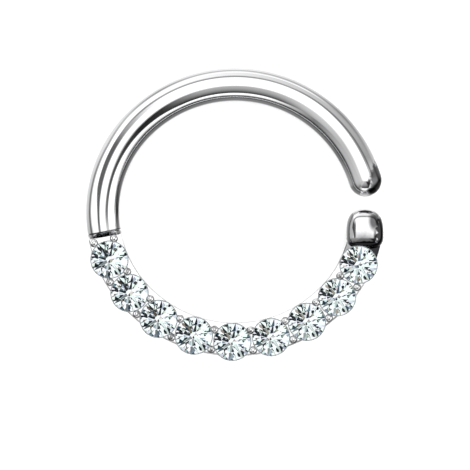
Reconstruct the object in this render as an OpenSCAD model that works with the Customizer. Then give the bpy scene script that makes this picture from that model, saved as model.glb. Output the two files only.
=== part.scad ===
// Open septum ring: a round wire hoop that runs into a rail with a row of
// round brilliant stones, and ends in a round-topped bead beside the gap.
// It lies on its back with its axis along Z and the stones facing up.
// X runs to the gap, Y to the middle of the plain wire. Millimetres.

/* [Hoop] */
// Clear width inside the hoop, side to side
inner_w = 8.3; // [8.2:0.05:8.4]
// Distance of each bend's centre from the middle, which sets how oval the hoop is
bend_shift = 0.3166; // [0.2969:0.0197:0.3363]
// Thickness of the round wire, 16 gauge
wire_d = 1.2; // [1.15:0.05:1.25]
// Where the top bend stops at the wire's rounded free end, in degrees above X
tip_angle = 17.4; // [15:0.1:20]

/* [Stones] */
// Width of each stone across its girdle
stone_d = 1.38; // [1.30:0.01:1.38]
// Distance from one stone's centre to the next
stone_pitch = 1.4; // [1.40:0.01:1.42]
// How far the row's centre line lies outside the wire's centre line
stone_shift = 0.085; // [0.05:0.005:0.1]
// How far the middle stone sits to the left of the Y axis, along the row
row_offset = 0.1; // [0.05:0.01:0.15]
// Height of the girdle's lower edge above the hoop's middle plane
girdle_height = 0.36; // [0.34:0.01:0.4]
// Clear space between a stone and the metal
stone_gap = 0.02; // [0.015:0.005:0.025]

/* [Cut] */
// Direction that a main facet of every stone faces, in degrees
facet_turn = 35; // [0:1:44]
// Width of the table as a share of the girdle
table_share = 0.56; // [0.53:0.01:0.6]
// Slope of the crown's main facets, in degrees
crown_angle = 34.5; // [32:0.5:36]
// Slope of the pavilion's main facets, in degrees
pavilion_angle = 40.8; // [40:0.2:42]
// Thickness of the girdle where the main facets meet it
girdle_t = 0.05; // [0.04:0.005:0.06]
// How far the star facets reach from the table's edge to the girdle
star_share = 0.5; // [0.45:0.01:0.6]
// How far the lower girdle facets reach from the girdle to the culet
lower_share = 0.78; // [0.7:0.01:0.85]

/* [Rail] */
// Height of the rail's top face above the hoop's middle plane
rail_height = 0.26; // [0.24:0.01:0.28]
// Thickness of each bead prong
prong_d = 0.3; // [0.26:0.01:0.3]
// Distance of the outer prongs' axes from the rail's outer side
prong_outer_edge = 0.17; // [0.16:0.01:0.2]
// Distance of the inner prongs' axes from the rail's inner side
prong_inner_edge = 0.3; // [0.26:0.01:0.32]
// Height of the prong's domed tip above the hoop's middle plane
prong_height = 0.61; // [0.58:0.01:0.64]
// Length of the slope where the full wire drops to the rail
slope_l = 0.2; // [0.16:0.01:0.22]
// Distance from the slope's foot to the girdle of the first stone
seam_space = 0.145; // [0.13:0.005:0.16]

/* [End bead] */
// Thickness of the bead at the gap
bead_d = 1.34; // [1.32:0.01:1.36]
// How far the bead's axis lies inside the hoop's widest place
bead_inset = 0.103; // [0.093:0.001:0.113]
// How far the bead's domed end stands above the X axis
bead_top = 0.1; // [0.05:0.01:0.12]
// Length from the bead's domed end to its thickest place
bead_dome_l = 0.94; // [0.88:0.01:0.98]
// Length from the bead's thickest place to its lower end
bead_foot_l = 0.5; // [0.45:0.01:0.52]
// How full the bead's ends are, 2 for an ellipse and more for a barrel
bead_fullness = 2.8; // [2.4:0.1:3.2]
// How square the bead's cross-section is, 2 for a circle
bead_squareness = 3.5; // [3:0.1:4]

/* [Hidden] */
$fn = 64;
stone_count = 9;
bead_steps = 12;
bead_sides = 48;
wire_r = wire_d / 2;
bead_r = bead_d / 2;
prong_r = prong_d / 2;
mid_z = bead_r;
bead_x = inner_w / 2 + wire_r - bead_inset;
rail_z = mid_z + rail_height;
prong_rows = [wire_r - prong_outer_edge, prong_inner_edge - wire_r];

// The rounded end is a hair slimmer than the wire, so that their surfaces cross cleanly
cap_r = wire_r - 0.004;
cap_reach = 0.012;
// Upright lip below the slope at the full wire's end
lip_h = 0.02;

// The hoop's centre line is an oval of four bends that meet at 45 degrees.
// Bends 0 to 3 face right, top, left and bottom.
side_r = inner_w / 2 + wire_r - bend_shift;
end_r = side_r + sqrt(2) * bend_shift;
function bend_r(bend) = bend % 2 == 0 ? side_r : end_r;
function bend_centre(bend) =
    (bend % 2 == 0 ? bend_shift : -bend_shift) * [cos(90 * bend), sin(90 * bend)];
function bend_point(bend, direction, outwards = 0) =
    bend_centre(bend) + (bend_r(bend) + outwards) * [cos(direction), sin(direction)];

// A place on the oval is named by the direction of its outward normal
function bend_at(direction) = floor((direction + 45) / 90) % 4;
function oval_point(direction, outwards) =
    bend_point(bend_at(direction), direction, outwards);
function to_hundredths(angle) = round(angle * 100) / 100;

// Distance along the row's line, counted from the bottom of the oval
row_side_r = side_r + stone_shift;
row_end_r = end_r + stone_shift;
row_quarter = row_end_r * PI / 4;
function degrees_on(length, radius) = length / radius * 180 / PI;
function row_direction(along) =
    let (beyond = abs(along) - row_quarter)
    270 + sign(along) * (beyond > 0
        ? 45 + degrees_on(beyond, row_side_r)
        : degrees_on(abs(along), row_end_r));
function stone_along(index) =
    (index - (stone_count + 1) / 2) * stone_pitch - row_offset;

// Heights and widths of a cut stone
stone_r = stone_d / 2;
seat_r = stone_r + stone_gap;
table_r = stone_r * table_share;
girdle_low_z = mid_z + girdle_height;
girdle_top_z = girdle_low_z + girdle_t;
table_z = girdle_top_z + (stone_r - table_r) * tan(crown_angle);
culet_z = girdle_low_z - stone_r * tan(pavilion_angle);
table_edge_r = table_r * cos(22.5);
star_r = table_edge_r + (stone_r - table_edge_r) * star_share;
star_z = girdle_top_z + (stone_r - star_r * cos(22.5)) * tan(crown_angle);
lower_r = stone_r * (1 - lower_share);
lower_z = girdle_low_z - (stone_r - lower_r * cos(22.5)) * tan(pavilion_angle);
girdle_steps = 32;

// Flat facets meet the round girdle in a scalloped edge
function edge_drop(tip_r, tip_z, edge_z) =
    (tip_z - edge_z) / (stone_r - tip_r) / cos(11.25) * stone_r * (1 - cos(11.25));
crown_drop = edge_drop(star_r, star_z, girdle_top_z);
pavilion_drop = edge_drop(lower_r, lower_z, girdle_low_z);

// Where the full wire ends and where the rail ends, inside the bead
seam_direction = to_hundredths(row_direction(stone_along(1))
    - degrees_on(stone_r + seam_space, row_side_r));
rail_end = 360 - to_hundredths(asin((bead_dome_l - bead_top) / side_r));

// A ring of points at one radius, starting at an angle
function points_round(count, radius, start, heights) =
    [for (i = [0:count - 1])
        let (angle = start + i * 360 / count)
        [radius * cos(angle), radius * sin(angle), heights[i % len(heights)]]];

// Half-width of the bead beside its axis, and the distance from its thickest place,
// at a step from one tip
function bead_ring(length, step) =
    let (angle = 90 * step / bead_steps)
    [bead_r * pow(sin(angle), 2 / bead_fullness),
        length * pow(cos(angle), 2 / bead_fullness)];

// One coordinate of a rounded square of half-width 1
function rounded(share) = sign(share) * pow(abs(share), 2 / bead_squareness);

// Round brilliant cut, its culet down and its table up
module brilliant() {
    table = 0;
    star = 8;
    top = 16;
    low = top + girdle_steps;
    lower = low + girdle_steps;
    culet = lower + 8;
    polyhedron(
        points = concat(
            points_round(8, table_r, 0, [table_z]),
            points_round(8, star_r, 22.5, [star_z]),
            points_round(girdle_steps, stone_r, 0, [girdle_top_z, girdle_top_z - crown_drop]),
            points_round(girdle_steps, stone_r, 0, [girdle_low_z, girdle_low_z - pavilion_drop]),
            points_round(8, lower_r, 22.5, [lower_z]),
            [[0, 0, culet_z]]),
        faces = concat(
            [[for (i = [7:-1:0]) table + i]],
            [for (i = [0:7]) [table + i, table + (i + 1) % 8, star + i]],
            [for (i = [0:7]) [table + i, star + i, top + 4 * i, star + (i + 7) % 8]],
            [for (i = [0:7], half = [0, 2]) let (edge = 4 * i + half)
                [star + i, top + (edge + 2) % girdle_steps, top + edge + 1, top + edge]],
            [for (i = [0:girdle_steps - 1]) let (next = (i + 1) % girdle_steps)
                [top + i, top + next, low + next, low + i]],
            [for (i = [0:7], half = [0, 2]) let (edge = 4 * i + half)
                [lower + i, low + edge, low + edge + 1, low + (edge + 2) % girdle_steps]],
            [for (i = [0:7])
                [culet, lower + (i + 7) % 8, low + 4 * i, lower + i]]));
}

// Puts its children at a place along the row, at a distance from the wire's centre line
module on_row(along, outwards = stone_shift) {
    translate(oval_point(row_direction(along), outwards))
        children();
}

module stone(index) {
    color("white")
        on_row(stone_along(index))
            rotate([0, 0, facet_turn])
                brilliant();
}

// Carries a profile round part of one bend
module along_bend(bend, from, to) {
    translate(bend_centre(bend))
        rotate_extrude(angle = to - from, start = from)
            translate([bend_r(bend), mid_z])
                children();
}

// Carries a profile along the oval, one bend at a time
module along_oval(from, to) {
    for (bend = [1:4]) {
        first = max(from, 90 * bend - 45);
        last = min(to, 90 * bend + 45);
        if (last > first)
            along_bend(bend % 4, first, last)
                children();
    }
}

module quarter_round(radius) {
    intersection() {
        circle(radius);
        square(radius);
    }
}

// Plain wire, its front sloping down to the rail and its free end rounded
module wire() {
    along_bend(1, tip_angle, 135)
        circle(wire_r);
    difference() {
        along_oval(135, seam_direction)
            circle(wire_r);
        translate(concat(oval_point(seam_direction, 0), rail_z + lip_h))
            rotate([atan2(slope_l, wire_r - rail_height), 0, seam_direction])
                translate([-wire_d, 0, 0])
                    cube([2 * wire_d, wire_d, wire_d]);
    }
    onwards = cap_reach * [sin(tip_angle), -cos(tip_angle)];
    translate(concat(bend_point(1, tip_angle) + onwards, mid_z))
        sphere(cap_r);
}

// Rail that carries on from the wire, with a half-round back and a flat top
module rail() {
    along_oval(seam_direction, rail_end) {
        intersection() {
            circle(wire_r);
            translate([-wire_d, -wire_d])
                square([2 * wire_d, wire_d]);
        }
        translate([-wire_r, 0])
            square([wire_d, rail_height]);
    }
}

// Bead that closes the rail at the gap, a barrel with a rounded square cross-section
module end_bead() {
    rings = concat(
        [for (step = [1:bead_steps]) bead_ring(-bead_foot_l, step)],
        [for (step = [bead_steps - 1:-1:1]) bead_ring(bead_dome_l, step)]);
    last = bead_sides * (len(rings) - 1);
    foot_tip = last + bead_sides;
    dome_tip = foot_tip + 1;
    translate([bead_x, bead_top - bead_dome_l, mid_z])
        polyhedron(
            points = concat(
                [for (ring = rings, i = [0:bead_sides - 1])
                    let (angle = 360 * i / bead_sides)
                    [ring[0] * rounded(cos(angle)), ring[1], ring[0] * rounded(sin(angle))]],
                [[0, -bead_foot_l, 0], [0, bead_dome_l, 0]]),
            faces = [for (i = [0:bead_sides - 1]) let (next = (i + 1) % bead_sides)
                each concat(
                    [[foot_tip, next, i], [dome_tip, last + i, last + next]],
                    [for (low = [0:bead_sides:last - bead_sides]) let (high = low + bead_sides)
                        [low + i, low + next, high + next, high + i]])]);
}

// Space that a stone takes with its clearance, closed over the crown
module seat() {
    low_gap = stone_gap / cos(pavilion_angle);
    top_gap = stone_gap / cos(crown_angle);
    rotate_extrude()
        polygon([
            [0, culet_z - low_gap],
            [seat_r, girdle_low_z - low_gap + stone_gap * tan(pavilion_angle)],
            [seat_r, girdle_top_z + top_gap - stone_gap * tan(crown_angle)],
            [0, girdle_top_z + top_gap + stone_r * tan(crown_angle)]]);
}

// Bead prong, its tip to be notched where it reaches over the stones
module prong() {
    straight = prong_height - prong_r;
    translate([0, 0, mid_z])
        rotate_extrude() {
            square([prong_r, straight]);
            translate([0, straight])
                quarter_round(prong_r);
        }
}

module hoop() {
    color("silver")
        difference() {
            union() {
                wire();
                rail();
                difference() {
                    end_bead();
                    on_row(stone_along(stone_count))
                        translate([0, 0, girdle_low_z])
                            cylinder(wire_d, r = seat_r + stone_gap);
                }
                for (i = [0:stone_count - 1], outwards = prong_rows)
                    on_row(stone_along(i + 0.5), outwards)
                        prong();
            }
            for (i = [1:stone_count])
                on_row(stone_along(i))
                    seat();
        }
}

hoop();
stone(1);  // stone_1
stone(2);  // stone_2
stone(3);  // stone_3
stone(4);  // stone_4
stone(5);  // stone_5
stone(6);  // stone_6
stone(7);  // stone_7
stone(8);  // stone_8
stone(9);  // stone_9
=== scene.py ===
import math
import bmesh
import bpy
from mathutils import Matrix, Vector


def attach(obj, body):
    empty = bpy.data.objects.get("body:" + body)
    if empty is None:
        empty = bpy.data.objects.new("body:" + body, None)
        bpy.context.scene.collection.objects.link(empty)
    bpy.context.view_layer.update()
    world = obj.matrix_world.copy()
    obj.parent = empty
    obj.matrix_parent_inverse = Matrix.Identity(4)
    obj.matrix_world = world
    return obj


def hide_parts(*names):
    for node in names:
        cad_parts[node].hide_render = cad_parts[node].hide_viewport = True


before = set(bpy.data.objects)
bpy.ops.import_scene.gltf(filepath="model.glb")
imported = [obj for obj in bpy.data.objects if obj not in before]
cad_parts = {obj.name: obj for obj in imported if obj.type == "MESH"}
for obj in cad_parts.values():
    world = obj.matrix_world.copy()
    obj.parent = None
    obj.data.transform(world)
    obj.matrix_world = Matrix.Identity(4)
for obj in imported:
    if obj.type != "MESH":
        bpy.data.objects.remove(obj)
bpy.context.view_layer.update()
bpy.ops.object.select_all(action="DESELECT")
print("frame loaded:", len(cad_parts), "nodes")

# Everything is modelled in millimetres, and each finished piece is scaled to metres
mm = 0.001
nearEnough = 0.001  # how far a picked place may lie from where it should be
mergeDistance = 0.00002
pointRadius = 0.0001  # a ring that closes is this small before it is merged
smoothAngle = 30  # edges sharper than this stay sharp
scene = bpy.context.scene

# The oval that the wire's centre line follows: four bends that meet at 45 degrees
oval = {
    "sideRadius": 4.4334,
    "endRadius": 4.88114,
    "shift": 0.3166,  # each bend's centre from the middle
    "middle": 0.67,  # height of the wire's centre line above the floor
}

row = {
    "stones": 9,
    "pitch": 1.4,
    "shift": 0.085,  # the row lies this far outside the wire's centre line
    "offset": 0.1,  # the middle stone lies this far towards the seam
    "stoneRadius": 0.69,
    "gap": 0.02,  # between a stone and its seat
    "girdleLow": 1.03,
    "girdleTop": 1.08,
    "crownAngle": 34.5,
    "pavilionAngle": 40.8,
}


def bendCentre(bend):
    away = oval["shift"] if bend % 2 == 0 else -oval["shift"]
    turn = bend * math.pi / 2
    return Vector((away * math.cos(turn), away * math.sin(turn), 0))


def bendAt(direction):  # the top bend carries on to the wire's free end, under 45 degrees
    return max(1, int((direction + 45) // 90))


def ovalPoint(direction, outwards=0.0, height=0.0):
    bend = bendAt(direction) % 4
    radius = (oval["sideRadius"] if bend % 2 == 0 else oval["endRadius"]) + outwards
    turn = math.radians(direction)
    return bendCentre(bend) + Vector((radius * math.cos(turn), radius * math.sin(turn), height))


def onwardsAt(direction):  # the way the wire runs there, anticlockwise
    turn = math.radians(direction)
    return Vector((-math.sin(turn), math.cos(turn), 0))


def rowDirection(along):
    sideRadius = oval["sideRadius"] + row["shift"]
    endRadius = oval["endRadius"] + row["shift"]
    beyond = abs(along) - endRadius * math.pi / 4
    turn = 45 + math.degrees(beyond / sideRadius) if beyond > 0 else math.degrees(abs(along) / endRadius)
    return 270 + math.copysign(turn, along)


def stoneAlong(index):
    return (index - (row["stones"] + 1) / 2) * row["pitch"] - row["offset"]


def pick(piece, wanted, kind="verts"):  # selects in edit mode by place
    shape = bmesh.from_edit_mesh(piece.data)
    bpy.ops.mesh.select_all(action="DESELECT")
    for part in getattr(shape, kind):
        corners = [part] if kind == "verts" else part.verts
        place = sum((corner.co for corner in corners), Vector()) / len(corners)
        if wanted(place):
            part.select_set(True)
    shape.select_flush(True)
    bmesh.update_edit_mesh(piece.data)


def startRing(name, centre, radius, sides, turned):  # a circle, in edit mode and selected
    bpy.ops.object.select_all(action="DESELECT")
    bpy.ops.mesh.primitive_circle_add(vertices=sides, radius=radius, location=centre, rotation=turned)
    ring = bpy.context.object
    ring.name = ring.data.name = name
    bpy.ops.object.transform_apply(location=True, rotation=True, scale=True)
    bpy.ops.object.mode_set(mode="EDIT")
    bpy.ops.mesh.select_mode(type="VERT")
    bpy.ops.mesh.select_all(action="SELECT")
    return ring


def domeRings(radius, start, steps):  # (radius, distance along the axis) pairs of a half ball
    quarter = [math.pi / 2 * step / steps for step in range(steps + 1)]
    return [(radius * math.cos(turn), start + radius * math.sin(turn)) for turn in quarter]


def growRings(centre, axis, rings, closed=True):  # rings: (radius, distance along the axis) pairs
    centre, axis = Vector(centre), Vector(axis).normalized()
    lastRadius, lastPlace = rings[0]
    for radius, place in rings[1:]:
        radius = max(radius, pointRadius)
        step = axis * (place - lastPlace)
        bpy.ops.mesh.extrude_region_move(TRANSFORM_OT_translate={"value": step, "orient_type": "GLOBAL"})
        share = radius / lastRadius
        bpy.ops.transform.resize(value=(share, share, share), center_override=centre + axis * place)
        lastRadius, lastPlace = radius, place
    if closed:
        bpy.ops.mesh.merge(type="CENTER")


def sweepOval(start, end, step):  # spins the selected ring along the oval, one bend at a time
    while end - start > nearEnough:
        bend = bendAt(start)
        stop = min(end, 90 * bend + 45)
        x, y, _ = bendCentre(bend % 4)
        bpy.ops.mesh.spin(
            steps=max(1, round((stop - start) / step)), angle=-math.radians(stop - start),
            center=(x, y, oval["middle"]), axis=(0, 0, 1))
        start = stop


def cleanMesh():  # merged doubles and outward faces, in edit mode
    bpy.ops.mesh.select_all(action="SELECT")
    bpy.ops.mesh.remove_doubles(threshold=mergeDistance)
    bpy.ops.mesh.normals_make_consistent(inside=False)
    bpy.ops.object.mode_set(mode="OBJECT")


def makeActive(piece):
    bpy.ops.object.select_all(action="DESELECT")
    piece.select_set(True)
    bpy.context.view_layer.objects.active = piece


def combine(piece, others, operation="DIFFERENCE"):
    makeActive(piece)
    for other in others:
        combined = piece.modifiers.new("combined", "BOOLEAN")
        combined.operation = operation
        combined.solver = "EXACT"
        combined.object = other
        bpy.ops.object.modifier_apply(modifier=combined.name)


def finishPiece(piece, finish):
    makeActive(piece)
    piece.scale = (mm, mm, mm)
    bpy.ops.object.transform_apply(location=True, rotation=True, scale=True)
    bpy.ops.object.shade_smooth_by_angle(angle=math.radians(smoothAngle))
    piece.data.materials.clear()
    piece.data.materials.append(finish)
    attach(piece, "root")
    print(piece.name, "finished:", len(piece.data.polygons), "faces")


# Tools that wire up a node tree

noiseSpan = (0.3, 0.7)  # nearly all of a noise lies between these


def nodeTools(tree):
    nodes, links = tree.nodes, tree.links

    def put(value, socket):
        if isinstance(value, (int, float, tuple)):
            socket.default_value = value
        else:
            links.new(value, socket)

    def calc(kind, *values):
        node = nodes.new("ShaderNodeMath")
        node.operation = kind
        for value, socket in zip(values, node.inputs):
            put(value, socket)
        return node.outputs[0]

    def fade(value, start, end, first=0, last=1):
        node = nodes.new("ShaderNodeMapRange")
        node.interpolation_type = "SMOOTHSTEP"
        amounts = {"Value": value, "From Min": start, "From Max": end, "To Min": first, "To Max": last}
        for name, amount in amounts.items():
            put(amount, node.inputs[name])
        return node.outputs[0]

    def mix(share, first, second):
        kept = calc("MULTIPLY", first, calc("SUBTRACT", 1, share))
        return calc("ADD", kept, calc("MULTIPLY", second, share))

    return put, calc, fade, mix


def between(tree, value, low, high, soft):  # 1 between the two values and 0 outside them
    _, calc, fade, _ = nodeTools(tree)
    return calc("MULTIPLY", fade(value, low - soft, low + soft), fade(value, high + soft, high - soft))


def vectorCalc(tree, kind, first, second=(0, 0, 0)):
    put = nodeTools(tree)[0]
    node = tree.nodes.new("ShaderNodeVectorMath")
    node.operation = kind
    put(first, node.inputs[0])
    put(second, node.inputs[1])
    return node.outputs["Value" if kind in ("LENGTH", "DOT_PRODUCT") else "Vector"]


def colourMix(tree, share, first, second):
    put = nodeTools(tree)[0]
    blend = tree.nodes.new("ShaderNodeMix")
    blend.data_type = "RGBA"
    put(share, blend.inputs[0])
    put(first, blend.inputs[6])  # this node's colour sockets are 6 and 7
    put(second, blend.inputs[7])
    return blend.outputs[2]


def grain(tree, where, measures):  # noise, from its scale per metre and its detail
    noise = tree.nodes.new("ShaderNodeTexNoise")
    noise.inputs["Scale"].default_value, noise.inputs["Detail"].default_value = measures
    tree.links.new(where, noise.inputs["Vector"])
    return noise.outputs[0]


def bump(tree, height, distance, onto=None):
    put = nodeTools(tree)[0]
    relief = tree.nodes.new("ShaderNodeBump")
    relief.inputs["Distance"].default_value = distance
    put(height, relief.inputs["Height"])
    if onto:
        put(onto, relief.inputs["Normal"])
    return relief.outputs[0]


def startFinish(name):  # a new material's tree, shader and Object coordinates
    finish = bpy.data.materials.new(name)
    finish.use_nodes = True
    tree = finish.node_tree
    where = tree.nodes.new("ShaderNodeTexCoord").outputs["Object"]
    return finish, tree, tree.nodes["Principled BSDF"], where


# Materials

steelLook = {
    "colour": (0.83, 0.83, 0.84, 1),
    "shade": (0.012, 0.012, 0.014, 1),  # the metal where dark reflections and shade are painted
    "roughness": (0.045, 0.09),
    "clouds": (1500, 3),  # cloudiness of the polish
    "cloudDepth": 0.05,
    "ripples": (900, 1),
    "rippleHeight": 0.000004,
    "lines": (24000, 1),
    "lineHeight": 0.00000008,
    "flecks": (6000, 2),  # they also break up the edge of a painted dark place
    "fleckSpan": 0.12,
    "specks": 0,  # how dark the flecks are all over
}


def ballShare(tree, where, flecks, ball):  # 1 inside a ball and 0 outside it
    _, calc, fade, _ = nodeTools(tree)
    local = vectorCalc(tree, "SUBTRACT", where, tuple(Vector(ball["centre"]) * mm))
    scaled = vectorCalc(tree, "DIVIDE", local, tuple(Vector(ball["size"]) * mm))
    span = calc("ADD", vectorCalc(tree, "LENGTH", scaled), calc("MULTIPLY", flecks, ball["flecks"]))
    return fade(span, 1 + ball["soft"], 1 - ball["soft"])


def bandShare(tree, where, band):  # 1 in a slice across the wire and 0 beside it
    calc = nodeTools(tree)[1]
    local = vectorCalc(tree, "SUBTRACT", where, tuple(band["centre"] * mm))
    along = vectorCalc(tree, "DOT_PRODUCT", local, tuple(band["onwards"] / mm))
    near = calc("LESS_THAN", vectorCalc(tree, "LENGTH", local), band["reach"] * mm)
    return calc("MULTIPLY", between(tree, along, band["start"], band["end"], band["soft"]), near)


def steelMaterial(name, look, paintedShadeBalls=(), paintedShadeBands=()):  # its places of painted dark reflection and painted shade come as ball and band shapes
    finish, tree, shader, where = startFinish(name)
    put, calc, fade, mix = nodeTools(tree)
    cloud = grain(tree, where, look["clouds"])
    flecks = calc("SUBTRACT", grain(tree, where, look["flecks"]), 0.5)  # on both sides of zero

    specks = calc("MULTIPLY", fade(flecks, 0, look["fleckSpan"]), look["specks"])
    bright = calc("SUBTRACT", 1, calc("MULTIPLY", cloud, look["cloudDepth"]))
    bright = calc("SUBTRACT", bright, specks)
    # Painted shade and painted dark reflections: each place darkens the colour towards the shade colour
    for band in paintedShadeBands:
        bright = calc("MINIMUM", bright, mix(bandShare(tree, where, band), 1, band["level"]))
    for ball in paintedShadeBalls:
        bright = calc("MINIMUM", bright, mix(ballShare(tree, where, flecks, ball), 1, ball["level"]))
    put(colourMix(tree, bright, look["shade"], look["colour"]), shader.inputs["Base Color"])
    shader.inputs["Metallic"].default_value = 1
    put(fade(cloud, *noiseSpan, *look["roughness"]), shader.inputs["Roughness"])

    ripples = bump(tree, grain(tree, where, look["ripples"]), look["rippleHeight"])
    lines = bump(tree, grain(tree, where, look["lines"]), look["lineHeight"], ripples)
    put(lines, shader.inputs["Normal"])
    return finish


stoneLook = {
    "colour": (0.97, 1.0, 0.99, 1),
    "rim": (0.66, 0.69, 0.69, 1),
    "ior": 2.16,
    "glint": (0.12, 0.12, 0.12, 1),  # how much the facets mirror
    "girdle": (1.025, 1.106),  # heights between which the girdle is left frosted
    "frost": 0.35,  # its least roughness
    "frostSpan": 0.3,
    "grain": (9000, 2),
}


def stoneMaterial(name, look):
    finish, tree, shader, where = startFinish(name)
    put, calc, _, _ = nodeTools(tree)
    split = tree.nodes.new("ShaderNodeSeparateXYZ")
    put(where, split.inputs[0])
    height = split.outputs["Z"]
    low, high = (edge * mm for edge in look["girdle"])
    frosted = calc("MULTIPLY", calc("GREATER_THAN", height, low), calc("LESS_THAN", height, high))
    uneven = calc("MULTIPLY", grain(tree, where, look["grain"]), look["frostSpan"])
    put(colourMix(tree, frosted, look["colour"], look["rim"]), shader.inputs["Base Color"])
    put(calc("MULTIPLY", frosted, calc("ADD", look["frost"], uneven)), shader.inputs["Roughness"])
    shader.inputs["IOR"].default_value = look["ior"]
    shader.inputs["Transmission Weight"].default_value = 1
    shader.inputs["Specular Tint"].default_value = look["glint"]
    return finish


clearStone = stoneMaterial("clearStone", stoneLook)


# Seats

seat = {
    "sides": 96,
    "flatRadius": 0.01,  # of the small flat at its lowest point
}


def makeSeats(name, first):  # every second seat, so that no two in one cutter meet
    radius = row["stoneRadius"] + row["gap"]
    lowGap = row["gap"] / math.cos(math.radians(row["pavilionAngle"]))
    topGap = row["gap"] / math.cos(math.radians(row["crownAngle"]))
    pavilionSlope = math.tan(math.radians(row["pavilionAngle"]))
    crownSlope = math.tan(math.radians(row["crownAngle"]))
    culet = row["girdleLow"] - row["stoneRadius"] * pavilionSlope - lowGap
    low = row["girdleLow"] - lowGap + row["gap"] * pavilionSlope
    top = row["girdleTop"] + topGap - row["gap"] * crownSlope
    peak = row["girdleTop"] + topGap + row["stoneRadius"] * crownSlope
    rings = [(seat["flatRadius"], culet), (radius, low), (radius, top), (0, peak)]
    parts = []
    for index in range(first, row["stones"] + 1, 2):
        x, y, _ = ovalPoint(rowDirection(stoneAlong(index)), row["shift"])
        cutter = startRing(name, (x, y, culet), seat["flatRadius"], seat["sides"], (0, 0, 0))
        bpy.ops.mesh.edge_face_add()
        bpy.ops.mesh.select_all(action="SELECT")
        growRings((x, y, 0), (0, 0, 1), rings)
        cleanMesh()
        parts.append(cutter)
    makeActive(parts[0])
    for part in parts:
        part.select_set(True)
    bpy.ops.object.join()
    return parts[0]


seatCutters = [makeSeats("oddSeats", 1), makeSeats("evenSeats", 2)]
print("seat cutters ready")


# Wire and rail

wire = {
    "radius": 0.6,
    "sides": 72,
    "tipAngle": 17.4,
    "tipRings": 16,
    "step": 1.5,  # degrees between rings
    "seamAngle": 191.59,
    "slope": 30.5,  # degrees that the step down to the rail leans from upright
    "slopeFoot": 0.95,  # height of its foot
    "block": 1.2,  # size of the block that cuts the step
    # Two fine grooves turned into the wire's end: radius, distance before the rail
    "grooves": ((0.6, -0.2), (0.565, -0.17), (0.6, -0.14), (0.6, -0.07), (0.565, -0.035), (0.6, 0)),
    # Painted shade across the seam's grooves, by distance before the rail, and the brightness left there
    "paintedShadeBands": (
        {"start": -0.19, "end": -0.01, "level": 0.85},  # from groove to groove
        {"start": -0.21, "end": -0.16, "level": 0.25},  # the first groove
        {"start": -0.045, "end": 0, "level": 0.2}),  # the second groove
    "bandSoft": 0.02,
    "bandReach": 1,  # from the middle of the seam
    # Painted dark reflections and painted shade beside the opening. Each is a ball in the
    # piece's own coordinates: how soft and flecked the edge is, and the brightness left inside
    "paintedShadeBalls": (
        {"centre": (4.95, -1.2, 1.2), "size": (0.95, 0.8, 0.5),
         "soft": 0.1, "flecks": 0, "level": 0.02},  # the rail's end
        {"centre": (3.95, -1.5, 0.8), "size": (0.3, 0.5, 0.5),
         "soft": 0.3, "flecks": 0, "level": 0.35},  # its inner side
        {"centre": (5.18, 1.2, 1.1), "size": (0.36, 0.65, 0.45),
         "soft": 0.25, "flecks": 0.9, "level": 0.15},  # the right side of the tip
        {"centre": (4.9, 0.78, 1.0), "size": (0.2, 0.13, 0.35),
         "soft": 0.3, "flecks": 0, "level": 0.03}),  # a spot on the tip
}

rail = {
    "top": 0.93,
    "endAngle": 349.08,
    "edgeRound": 0.04,
    "edgeSteps": 3,
    "sideCuts": 4,
    "topCuts": 19,
    "step": 1.0,  # degrees between sections
}


def makeWire():
    tip, seam = wire["tipAngle"], wire["seamAngle"]
    turned = (math.pi / 2, 0, math.radians(tip))
    centre = ovalPoint(tip, 0, oval["middle"])
    outwards = -onwardsAt(tip)
    hoop = startRing("wireAndRail", centre, wire["radius"], wire["sides"], turned)
    growRings(centre, outwards, domeRings(wire["radius"], 0, wire["tipRings"]))
    pick(hoop, lambda co: abs((co - centre).dot(outwards)) < nearEnough)
    firstGroove = wire["grooves"][0][1]
    sweepOval(tip, seam + math.degrees(firstGroove / oval["sideRadius"]), wire["step"])
    growRings(ovalPoint(seam, 0, oval["middle"]), onwardsAt(seam), wire["grooves"], closed=False)
    bpy.ops.mesh.edge_face_add()
    cleanMesh()
    # The step down to the rail is cut with a leaning block
    bpy.ops.object.select_all(action="DESELECT")
    half = wire["block"] / 2
    bpy.ops.mesh.primitive_cube_add(size=wire["block"], location=(0, half, half))
    block = bpy.context.object
    block.scale.x = 2  # wider than the wire
    bpy.ops.object.transform_apply(location=True, rotation=True, scale=True)
    block.rotation_euler = (math.radians(wire["slope"]), 0, math.radians(seam))
    block.location = ovalPoint(seam, 0, wire["slopeFoot"])
    bpy.ops.object.transform_apply(location=True, rotation=True, scale=True)
    combine(hoop, [block])
    bpy.data.objects.remove(block)
    return hoop


def railSection():
    # The section is shaped flat, then stood up where the rail starts
    strip = startRing("rail", (0, 0, 0), wire["radius"], wire["sides"], (0, 0, 0))
    pick(strip, lambda co: co.y > nearEnough)
    bpy.ops.mesh.delete(type="VERT")
    pick(strip, lambda co: co.y > -nearEnough)
    height = rail["top"] - oval["middle"]
    bpy.ops.mesh.extrude_region_move(TRANSFORM_OT_translate={"value": (0, height, 0)})
    bpy.ops.mesh.edge_face_add()
    bpy.ops.mesh.bevel(affect="VERTICES", offset=rail["edgeRound"], segments=rail["edgeSteps"])
    pick(strip, lambda co: rail["edgeRound"] < co.y < height - 2 * rail["edgeRound"], "edges")
    bpy.ops.mesh.subdivide(number_cuts=rail["sideCuts"])
    pick(strip, lambda co: co.y > height - nearEnough and abs(co.x) < wire["radius"] / 2, "edges")
    bpy.ops.mesh.subdivide(number_cuts=rail["topCuts"])
    bpy.ops.object.mode_set(mode="OBJECT")
    strip.rotation_euler = (math.pi / 2, 0, math.radians(wire["seamAngle"]))
    strip.location = ovalPoint(wire["seamAngle"], 0, oval["middle"])
    bpy.ops.object.transform_apply(location=True, rotation=True, scale=True)
    return strip


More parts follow.
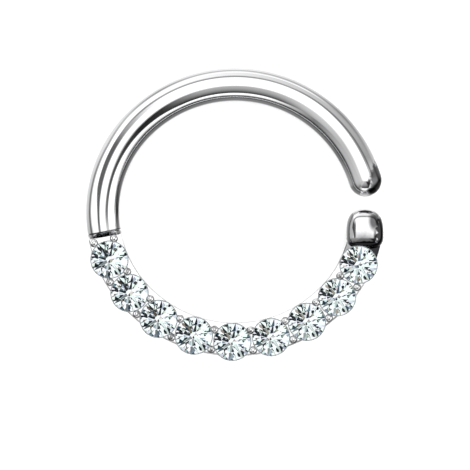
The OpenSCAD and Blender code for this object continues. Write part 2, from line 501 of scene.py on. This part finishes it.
def makeWireAndRail():
    hoop = makeWire()
    strip = railSection()
    bpy.ops.object.mode_set(mode="EDIT")
    bpy.ops.mesh.select_all(action="SELECT")
    sweepOval(wire["seamAngle"], rail["endAngle"], rail["step"])
    bpy.ops.mesh.edge_face_add()
    seamCentre, onwards = ovalPoint(wire["seamAngle"]), onwardsAt(wire["seamAngle"])
    pick(strip, lambda co: co.x < 0 and abs((co - seamCentre).dot(onwards)) < nearEnough)
    bpy.ops.mesh.edge_face_add()
    cleanMesh()
    combine(hoop, [strip], "UNION")
    bpy.data.objects.remove(strip)
    combine(hoop, seatCutters)
    return hoop


# The painted shade of the seam's grooves, placed at the seam
def paintedSeamShade():
    atSeam = {
        "centre": ovalPoint(wire["seamAngle"], 0, oval["middle"]),
        "onwards": onwardsAt(wire["seamAngle"]),
        "soft": wire["bandSoft"],
        "reach": wire["bandReach"],
    }
    return [dict(atSeam, **band) for band in wire["paintedShadeBands"]]


wireAndRail = makeWireAndRail()
finishPiece(wireAndRail, steelMaterial("wireSteel", steelLook, wire["paintedShadeBalls"], paintedSeamShade()))


# Prong tips

prong = {
    "radius": 0.15,
    "sides": 32,
    "domeRings": 8,
    "outer": 0.43,  # outwards from the wire's centre line
    "inner": -0.3,
    "domeStart": 1.13,
    "foot": 0.7,
    "specks": 0.6,
}


def makeProngs():
    first = startRing("prongTips", (0, 0, prong["foot"]), prong["radius"], prong["sides"], (0, 0, 0))
    bpy.ops.mesh.edge_face_add()
    bpy.ops.mesh.select_all(action="SELECT")
    rings = [(prong["radius"], prong["foot"])]
    rings += domeRings(prong["radius"], prong["domeStart"], prong["domeRings"])
    growRings((0, 0, 0), (0, 0, 1), rings)
    cleanMesh()
    valleys = [stoneAlong(index + 0.5) for index in range(row["stones"])]
    places = [ovalPoint(rowDirection(valley), out)
              for valley in valleys for out in (prong["outer"], prong["inner"])]
    copies = []
    for place in places[1:]:
        makeActive(first)
        bpy.ops.object.duplicate()
        copy = bpy.context.object
        copy.location = place
        copies.append(copy)
    makeActive(first)
    first.location = places[0]
    for copy in copies:
        copy.select_set(True)
    bpy.ops.object.transform_apply(location=True, rotation=True, scale=True)
    bpy.ops.object.join()
    combine(first, seatCutters)
    return first


prongTips = makeProngs()
finishPiece(prongTips, steelMaterial("prongSteel", dict(steelLook, specks=prong["specks"])))


# End bead

bead = {
    "radius": 0.67,
    "x": 4.647,
    "corner": 24,  # edges at each corner
    "weld": 0.0001,  # the corners meet in the middle of each side
    "top": 0.1,
    "domeLength": 0.94,
    "footLength": 0.5,
    "fullness": 2.8,
    "squareness": 0.673,  # profile of the section's rounded corners, 0.5 for a circle
    "rings": 24,
    "firstRing": 0.001,  # radius that the lowest ring starts from
    "shelf": 1.03,  # height of the ledge cut for the last stone
    "shelfRadius": 0.73,
    "shelfDepth": 1.2,
    "paintedShadeBalls": (  # painted dark reflections and shade, as on the wire
        {"centre": (5.5, -0.85, 1.3), "size": (0.48, 1.1, 0.65),
         "soft": 0.1, "flecks": 0.9, "level": 0.04},  # the right side
        {"centre": (4.65, -1.8, 1.2), "size": (1.2, 0.79, 0.6),
         "soft": 0.06, "flecks": 0.2, "level": 0.01},  # the foot
        {"centre": (4.6, -1.3, 1.3), "size": (0.6, 0.55, 0.6),
         "soft": 0.45, "flecks": 0.3, "level": 0.3},  # where the foot grows brighter
        {"centre": (4.965, -0.33, 1.25), "size": (0.18, 0.34, 0.3),
         "soft": 0.5, "flecks": 0, "level": 0.13},  # beside the bright window
        {"centre": (3.9, -0.6, 0.9), "size": (0.39, 1.0, 0.9),
         "soft": 0.08, "flecks": 0, "level": 0.35},  # the inner side
        {"centre": (4.65, 0.02, 1.1), "size": (0.18, 0.05, 0.4),
         "soft": 0.4, "flecks": 1, "level": 0.02}),  # a spot on the top
}


def beadRings():  # (radius, place along Y) pairs from the foot to the top
    power = 2 / bead["fullness"]
    thickest = bead["top"] - bead["domeLength"]
    rings = []
    for step in range(2 * bead["rings"] + 1):
        turn = math.pi * step / (2 * bead["rings"])
        length = -bead["footLength"] if turn < math.pi / 2 else bead["domeLength"]
        radius = bead["radius"] * abs(math.sin(turn)) ** power
        rings.append((radius, thickest + length * abs(math.cos(turn)) ** power))
    rings[0] = (bead["firstRing"], rings[0][1])
    return rings


def makeBead():
    rings = beadRings()
    start = (bead["x"], rings[0][1], oval["middle"])
    ball = startRing("endBead", start, bead["radius"] * math.sqrt(2), 4, (math.pi / 2, math.pi / 4, 0))
    bpy.ops.mesh.edge_face_add()
    bpy.ops.mesh.bevel(affect="VERTICES", offset=bead["radius"], segments=bead["corner"],
                       profile=bead["squareness"])
    bpy.ops.mesh.remove_doubles(threshold=bead["weld"])
    bpy.ops.mesh.select_all(action="SELECT")
    small = bead["firstRing"] / bead["radius"]
    bpy.ops.transform.resize(value=(small, small, small), center_override=start)
    growRings((bead["x"], 0, oval["middle"]), (0, 1, 0), rings)
    cleanMesh()
    x, y, _ = ovalPoint(rowDirection(stoneAlong(row["stones"])), row["shift"])
    bpy.ops.object.select_all(action="DESELECT")
    bpy.ops.mesh.primitive_cylinder_add(
        vertices=seat["sides"], radius=bead["shelfRadius"], depth=bead["shelfDepth"],
        location=(x, y, bead["shelf"] + bead["shelfDepth"] / 2))
    ledge = bpy.context.object
    bpy.ops.object.transform_apply(location=True, rotation=True, scale=True)
    combine(ball, [ledge, seatCutters[0]])
    bpy.data.objects.remove(ledge)
    return ball


endBead = makeBead()
finishPiece(endBead, steelMaterial("beadSteel", steelLook, bead["paintedShadeBalls"]))
for piece in (wireAndRail, prongTips, endBead):
    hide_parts("hoop")
for cutter in seatCutters:
    bpy.data.objects.remove(cutter)


# Stones

for name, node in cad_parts.items():
    if name.startswith("stone_"):
        node.data.materials.clear()
        node.data.materials.append(clearStone)
print("stones dressed")


# Floor, lights and camera

floorLook = {
    "radius": 400,
    "sides": 96,
    "colour": (0.95, 0.95, 0.95, 1),
    "shade": (0.9, 0.9, 0.9, 1),
    "roughness": (0.85, 0.95),
    "fibres": (400, 4),
    "fibreHeight": 0.00001,
}


def cardMaterial(name, look):
    finish, tree, shader, where = startFinish(name)
    put, _, fade, _ = nodeTools(tree)
    fibres = grain(tree, where, look["fibres"])
    put(colourMix(tree, fibres, look["colour"], look["shade"]), shader.inputs["Base Color"])
    put(fade(fibres, *noiseSpan, *look["roughness"]), shader.inputs["Roughness"])
    put(bump(tree, fibres, look["fibreHeight"]), shader.inputs["Normal"])
    return finish


def makeFloor():
    floor = startRing("paleFloor", (0, 0, 0), floorLook["radius"], floorLook["sides"], (0, 0, 0))
    bpy.ops.mesh.edge_face_add()
    bpy.ops.object.mode_set(mode="OBJECT")
    makeActive(floor)
    floor.scale = (mm, mm, mm)
    bpy.ops.object.transform_apply(location=True, rotation=True, scale=True)
    floor.data.materials.append(cardMaterial("paleCard", floorLook))
    floor.visible_glossy = False  # polished steel and stones mirror the room alone
    floor.visible_transmission = False


makeFloor()

# The room as seen from the ring. Overhead edges are sideways shares of the height above, and
# other angles are degrees from straight up. Where a value changes round the room, it is given
# by compass angle from the right, anticlockwise.
tent = {
    "strength": 1.5,
    "plain": 2,  # what the floor and the camera see
    "lowest": 0.05,  # least height that a share is taken of
    "panel": {"left": -0.37, "right": 0.35, "near": -0.14, "far": 1.8, "soft": 0.1},
    "frame": {"left": -1.3, "leftNear": -0.72, "right": 0.8, "near": -1.7, "far": 1.9, "soft": 0.1},
    "leftBend": (-0.05, 0.3),  # where the frame's left edge steps in towards leftNear
    "frameLevel": {0: 0.14, 20: 1, 120: 1, 135: 0.4, 148: 0.09, 185: 0.09, 200: 0.5, 225: 0.3, 250: 0.06,
                   290: 0.02, 315: 0.01, 345: 0.06},
    # Light that spills past the panel's near edge; its limits are X and Y of a level direction
    "nearGlow": {"level": 0.32, "margin": 0.3, "limitsX": (0.6, 0.2), "limitsY": (-0.5, -0.9)},
    "wallLevel": {0: 1, 12: 0.9, 25: 0.28, 45: 0.38, 62: 0.5, 90: 0.72, 110: 0.85, 135: 1, 185: 1,
                  196: 0.45, 215: 0.35, 232: 0.15, 243: 0.4, 255: 1},
    "wallEnd": {0: 84, 45: 88, 90: 98, 120: 94, 135: 90, 150: 76, 180: 76, 202: 62, 225: 66, 240: 68,
                270: 70, 300: 66, 315: 56, 330: 60, 345: 70},
    "gapAngle": {0: 112, 20: 98, 45: 112, 120: 113, 135: 110, 150: 92, 165: 99, 180: 100, 210: 84,
                 270: 83, 315: 84, 330: 86, 345: 97},
    "gapWidth": {0: 0, 195: 0, 212: 12, 335: 12, 348: 0},
    "gapLevel": {0: 0.01, 22: 0.3, 45: 0.18, 60: 0.38, 90: 0.6, 105: 0.5, 120: 0.22, 135: 0.42, 150: 0.25,
                 165: 0.15, 180: 0.1, 202: 0.05, 210: 0.02, 225: 0.03, 240: 0.03, 270: 0.05, 300: 0.01,
                 345: 0.05},
    "ground": {0: 0.02, 22: 0.45, 45: 0.35, 60: 0.55, 90: 0.75, 120: 0.6, 150: 0.65, 180: 0.5, 196: 0.3,
               210: 0.14, 270: 0.18, 300: 0.13, 345: 0.13},
    "groundFade": 20,
    "groundBelow": 0.7,
    "belowFade": (130, 165),
    "bars": (  # thin rods behind the far side, the middle one lit
        {"angle": 58, "width": 10, "level": 0.08, "start": 10, "end": 145},
        {"angle": 97, "width": 8, "level": 0.95, "start": 48, "end": 120},
        {"angle": 116, "width": 5, "level": 0.2, "start": 25, "end": 140}),
    "barFade": 15,
}

# What the stones gather through their crowns: a grid of lamps overhead with dark gaps between them,
# and the dark round lens that looks down. Sizes are sideways shares of the height above. They were
# found by a search with a ray tracer, then rounded and set one by one.
lamps = {
    "turn": 136,
    "rows": {"spacing": 0.32, "start": 0.087, "gap": 0.105},
    "columns": {"spacing": 1.06, "start": 0.365, "gap": 0.15},
    "soft": 0.055,
    "lens": {"x": -0.03, "y": -0.033, "radius": 0.075},
    "bright": 1.17,
    "tints": ((0.86, 1, 0.95), (0.95, 0.91, 1)),  # mint and lilac casts of the lamps
    "tintSpan": 0.3,
    "dark": (0, 0.006, 0.01),
    "spread": 0.002,  # how far a cut stone pulls red and blue apart
    "below": 0.6,  # level under the horizon
    "horizon": 0.02,  # half the height over which it changes
}


def makeTent():
    world = bpy.data.worlds.new("lightTent")
    scene.world = world
    world.use_nodes = True
    tree = world.node_tree
    nodes = tree.nodes
    put, calc, fade, mix = nodeTools(tree)

    def around(levels, most=1):
        ramp = nodes.new("ShaderNodeValToRGB")
        stops = sorted(levels.items()) + [(360, levels[0])]
        ramp.color_ramp.elements[1].position = 1
        for angle, _ in stops[1:-1]:
            ramp.color_ramp.elements.new(angle / 360)
        for element, (_, level) in zip(ramp.color_ramp.elements, stops):
            element.color = (level / most, level / most, level / most, 1)
        put(compass, ramp.inputs[0])
        return calc("MULTIPLY", ramp.outputs[0], most)

    def inside(edges, left):
        soft = edges["soft"]
        across = calc("MULTIPLY", fade(calc("SUBTRACT", shareX, left), -soft, soft),
                      fade(shareX, edges["right"] + soft, edges["right"] - soft))
        return calc("MULTIPLY", across, between(tree, shareY, edges["near"], edges["far"], soft))

    where = nodes.new("ShaderNodeTexCoord")
    split = nodes.new("ShaderNodeSeparateXYZ")
    put(where.outputs["Generated"], split.inputs[0])
    x, y, z = split.outputs
    compass = calc("FRACT", calc("DIVIDE", calc("ARCTAN2", y, x), 2 * math.pi))
    height = calc("MAXIMUM", z, tent["lowest"])
    shareX, shareY = calc("DIVIDE", x, height), calc("DIVIDE", y, height)
    fromTop = calc("MULTIPLY", calc("ARCCOSINE", z), 180 / math.pi)
    sineSquared = calc("SUBTRACT", 1, calc("MULTIPLY", z, z))
    sideways = calc("SQRT", calc("MAXIMUM", sineSquared, 1e-6))  # never zero, straight up

    # Overhead panel, the dark frame round it, and the walls
    panel, border, spill = tent["panel"], tent["frame"], tent["nearGlow"]
    glow = fade(shareY, border["near"] + spill["margin"], panel["near"], 0, spill["level"])
    glow = calc("MULTIPLY", glow, fade(calc("DIVIDE", y, sideways), *spill["limitsY"]))
    glow = calc("MULTIPLY", glow, fade(calc("DIVIDE", x, sideways), *spill["limitsX"]))
    frameLevel = calc("ADD", around(tent["frameLevel"]), glow)
    borderLeft = fade(shareY, *tent["leftBend"], border["leftNear"], border["left"])
    overhead = mix(inside(panel, panel["left"]), frameLevel, 1)
    seen = mix(inside(border, borderLeft), around(tent["wallLevel"]), overhead)

    # The dark gap under the walls, and the ground
    gapAngle = around(tent["gapAngle"], 180)
    gapEnd = calc("ADD", gapAngle, around(tent["gapWidth"], 180))
    groundStart = calc("ADD", gapEnd, tent["groundFade"])
    seen = mix(fade(fromTop, around(tent["wallEnd"], 180), gapAngle), seen, around(tent["gapLevel"]))
    seen = mix(fade(fromTop, gapEnd, groundStart), seen, around(tent["ground"]))
    seen = mix(fade(fromTop, *tent["belowFade"]), seen, tent["groundBelow"])
    for bar in tent["bars"]:
        away = calc("ABSOLUTE", calc("SUBTRACT", fromTop, bar["angle"]))
        share = calc("MAXIMUM", calc("SUBTRACT", 1, calc("DIVIDE", away, bar["width"])), 0)
        full, last = bar["start"] + tent["barFade"], bar["end"] - tent["barFade"]
        share = calc("MULTIPLY", share, fade(compass, bar["start"] / 360, full / 360))
        share = calc("MULTIPLY", share, fade(compass, bar["end"] / 360, last / 360))
        seen = mix(share, seen, bar["level"])

    # The lamp grid, once for each colour
    turn = math.radians(lamps["turn"])
    cosine, sine = math.cos(turn), math.sin(turn)
    acrossRows = calc("ADD", calc("MULTIPLY", shareX, cosine), calc("MULTIPLY", shareY, sine))
    acrossColumns = calc("SUBTRACT", calc("MULTIPLY", shareY, cosine), calc("MULTIPLY", shareX, sine))
    lens = lamps["lens"]
    lensX, lensY = calc("SUBTRACT", shareX, lens["x"]), calc("SUBTRACT", shareY, lens["y"])
    fromLens = calc("SQRT", calc("ADD", calc("POWER", lensX, 2), calc("POWER", lensY, 2)))
    inLens = fade(fromLens, lens["radius"] + lamps["soft"], lens["radius"] - lamps["soft"])

    def gaps(value, grid, shift):
        away = calc("PINGPONG", calc("SUBTRACT", value, grid["start"] + shift), grid["spacing"] / 2)
        return fade(away, (grid["gap"] + lamps["soft"]) / 2, (grid["gap"] - lamps["soft"]) / 2)

    tinted = calc("PINGPONG", calc("ADD", acrossColumns, acrossRows), lamps["tintSpan"])
    tinted = fade(tinted, 0, lamps["tintSpan"])
    mint, lilac = lamps["tints"]
    aboveHorizon = fade(z, -lamps["horizon"], lamps["horizon"])
    gathered = nodes.new("ShaderNodeCombineColor")
    for channel, dark in enumerate(lamps["dark"]):
        shift = lamps["spread"] * (channel - 1)
        inGap = calc("MAXIMUM", gaps(acrossRows, lamps["rows"], shift),
                     gaps(acrossColumns, lamps["columns"], shift))
        lit = calc("MULTIPLY", mix(tinted, mint[channel], lilac[channel]), lamps["bright"])
        level = mix(calc("MAXIMUM", inGap, inLens), lit, dark)
        put(mix(aboveHorizon, lamps["below"], level), gathered.inputs[channel])

    ray = nodes.new("ShaderNodeLightPath")
    mirrored = mix(ray.outputs["Is Glossy Ray"], tent["plain"], calc("MULTIPLY", seen, tent["strength"]))
    choice = colourMix(tree, ray.outputs["Is Transmission Ray"], mirrored, gathered.outputs[0])
    put(choice, nodes["Background"].inputs["Color"])
    nodes["Background"].inputs["Strength"].default_value = 1


makeTent()

photoView = {
    "width": 16.85,  # millimetres across the picture at the ring
    "centre": (-0.004, -0.824),
    "distance": 250,
    "sensor": 36,
    "clip": (0.01, 10),  # in metres
}


def makeCamera():
    lens = bpy.data.cameras.new("photoCamera")
    camera = bpy.data.objects.new("photoCamera", lens)
    scene.collection.objects.link(camera)
    lens.sensor_width = photoView["sensor"]
    lens.lens = photoView["sensor"] * photoView["distance"] / photoView["width"]
    lens.clip_start, lens.clip_end = photoView["clip"]
    camera.location = Vector((*photoView["centre"], oval["middle"] + photoView["distance"])) * mm
    camera.rotation_euler = (0, 0, 0)
    scene.camera = camera


makeCamera()
scene.view_settings.view_transform = "Standard"
print("floor, lights and camera ready")
